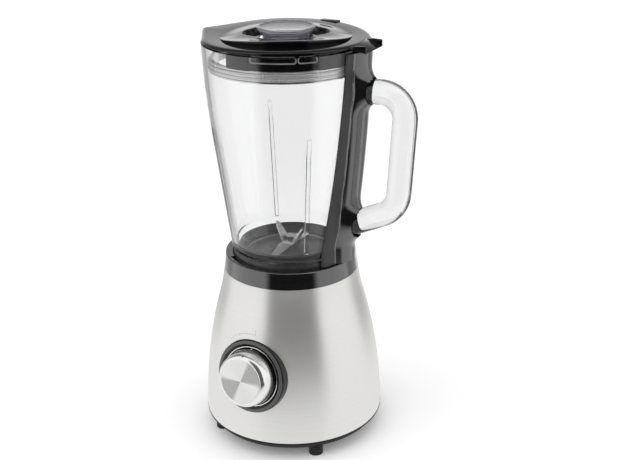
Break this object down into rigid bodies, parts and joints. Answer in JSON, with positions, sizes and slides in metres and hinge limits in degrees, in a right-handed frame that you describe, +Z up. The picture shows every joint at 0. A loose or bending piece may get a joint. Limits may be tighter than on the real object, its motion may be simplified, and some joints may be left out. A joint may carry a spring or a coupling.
{
  "type": "countertop blender",
  "caption": "Countertop blender: brushed-steel motor base with a speed knob, glass jug with a glass handle and black spine, bent blades, and a push-fit lid with a measuring cap.",
  "frame": {"origin": "point on the motor axis at table level, on the plane that the feet stand on", "axes": "+Z up along the motor axis; the speed knob faces -Y; the jug's handle points to +X and its spout to -X"},
  "size_m": [0.2262, 0.1996, 0.415],
  "materials": {
    "steel_shell": "satin brushed sheet steel",
    "black_gloss": "glossy black moulding",
    "black_satin": "satin black moulding",
    "jug_glass": "clear pressed glass",
    "clear_cap": "clear moulding",
    "silicone": "translucent silicone",
    "black_rubber": "matte rubber",
    "bright_metal": "polished and spun metal",
    "blade_steel": "ground stainless steel",
    "cast_aluminium": "die-cast",
    "iron_laminations": "stacked sheet",
    "copper": "enamelled wire",
    "steel_parts": "machined steel",
    "carbon": "pressed carbon",
    "board_green": "solder mask",
    "white_plastic": "moulded"
  },
  "bodies": {
    "base": {"base_shell": "steel_shell", "base_plate": "black_satin", "rubber_feet": "black_rubber", "plate_screws": "steel_parts", "inner_frame": "black_satin", "jug_seat_ring": "black_gloss", "lower_motor_bracket": "cast_aluminium", "upper_motor_bracket": "cast_aluminium", "lower_bearing": "steel_parts", "upper_bearing": "steel_parts", "stator_laminations": "iron_laminations", "field_coils": "copper", "motor_bolts": "steel_parts", "motor_mounts": "black_rubber", "brush_holders": "white_plastic", "carbon_brushes": "carbon", "brush_springs": "steel_parts", "circuit_board": "board_green", "board_components": "carbon", "rotary_switch": "black_satin", "switch_nut": "steel_parts", "knob_bezel": "black_gloss", "bezel_trim_ring": "bright_metal", "micro_switch": "black_satin", "pin_spring": "steel_parts", "cord_inlet_bush": "black_satin"},
    "rotor": {"motor_shaft": "steel_parts", "armature_core": "iron_laminations", "armature_windings": "copper", "commutator": "copper", "cooling_fan": "white_plastic", "drive_coupling": "black_rubber"},
    "knob": {"knob_body": "black_gloss", "knob_cap": "bright_metal", "knob_spindle": "steel_parts"},
    "interlock": {"interlock_pin": "white_plastic"},
    "jug": {"jug_glass": "jug_glass", "spine_cover_front": "black_satin", "spine_cover_rear": "black_satin", "spine_screws": "steel_parts", "jug_collar": "black_satin", "collar_gasket": "silicone", "blade_holder": "blade_steel", "shaft_bushes": "white_plastic", "shaft_seal": "black_rubber"},
    "blades": {"blade_shaft": "steel_parts", "lower_blade": "blade_steel", "upper_blade": "blade_steel", "blade_washer": "blade_steel", "blade_nut": "blade_steel", "jug_coupling": "black_rubber"},
    "lid": {"lid": "black_gloss", "lid_seal": "silicone"},
    "cap": {"measuring_cap": "clear_cap"}
  },
  "joints": [
    {"name": "motor_spin", "type": "hinge", "parent": "base", "child": "rotor", "pos_m": [0, 0, 0.1], "axis": [0, 0, 1], "continuous": true},
    {"name": "knob_turn", "type": "hinge", "parent": "base", "child": "knob", "pos_m": [0, -0.0799, 0.0867], "axis": [0, 0.9848, -0.1736], "range_deg": [-35, 150]},
    {"name": "pin_press", "type": "slide", "parent": "base", "child": "interlock", "axis": [0, 0, 1], "range_m": [-0.003, 0], "stiffness_N_per_m": 300, "springref_m": 0.002, "deforming": ["pin_spring"]},
    {"name": "jug_lift", "type": "slide", "parent": "base", "child": "jug", "axis": [0, 0, 1], "range_m": [0, 0.12]},
    {"name": "blade_spin", "type": "hinge", "parent": "jug", "child": "blades", "pos_m": [0, 0, 0.19], "axis": [0, 0, 1], "continuous": true},
    {"name": "lid_lift", "type": "slide", "parent": "jug", "child": "lid", "axis": [0, 0, 1], "range_m": [0, 0.08]},
    {"name": "cap_lift", "type": "slide", "parent": "lid", "child": "cap", "axis": [0, 0, 1], "range_m": [0, 0.06]}
  ],
  "couplings": [
    {"joint": "blade_spin", "follows": "motor_spin", "ratio": 1}
  ]
}
